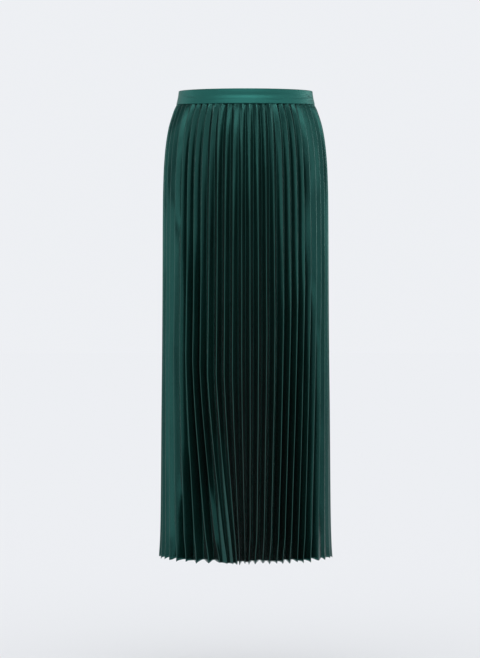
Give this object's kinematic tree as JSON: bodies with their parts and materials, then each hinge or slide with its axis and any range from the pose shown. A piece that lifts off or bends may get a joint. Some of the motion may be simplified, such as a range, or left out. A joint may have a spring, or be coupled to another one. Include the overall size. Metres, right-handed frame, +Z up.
{
  "type": "pleated skirt",
  "caption": "Long filled-out sunray-pleated satin skirt on a narrow smooth waistband, open at waist and hem, with a concealed zip and swinging pull tab at the centre back.",
  "frame": {"origin": "middle of the waist, level with the waistband's top edge", "axes": "+Z up, out of the waist; -Y out of the front; +X towards the right of the front view; the centre back zip is at +Y"},
  "size_m": [0.339, 0.3037, 0.9041],
  "materials": {
    "pleated_satin": "deep bottle-green satin, soft sheen along the pressed folds",
    "waistband_satin": "smooth bottle-green satin over a firm interlining",
    "zip_tape_cloth": "matt woven tape dyed to match the satin",
    "zip_enamel": "bottle-green enamel on die-cast metal"
  },
  "bodies": {
    "skirt": {"waistband": "waistband_satin", "front_panel": "pleated_satin", "back_panel_left": "pleated_satin", "back_panel_right": "pleated_satin", "zip_tape": "zip_tape_cloth", "zip_slider": "zip_enamel"},
    "pull": {"zip_pull": "zip_enamel"}
  },
  "joints": [
    {"name": "pull_swing", "type": "hinge", "parent": "skirt", "child": "pull", "pos_m": [0, 0.10139, -0.00951], "axis": [1, 0, 0], "range_deg": [0, 150]}
  ]
}
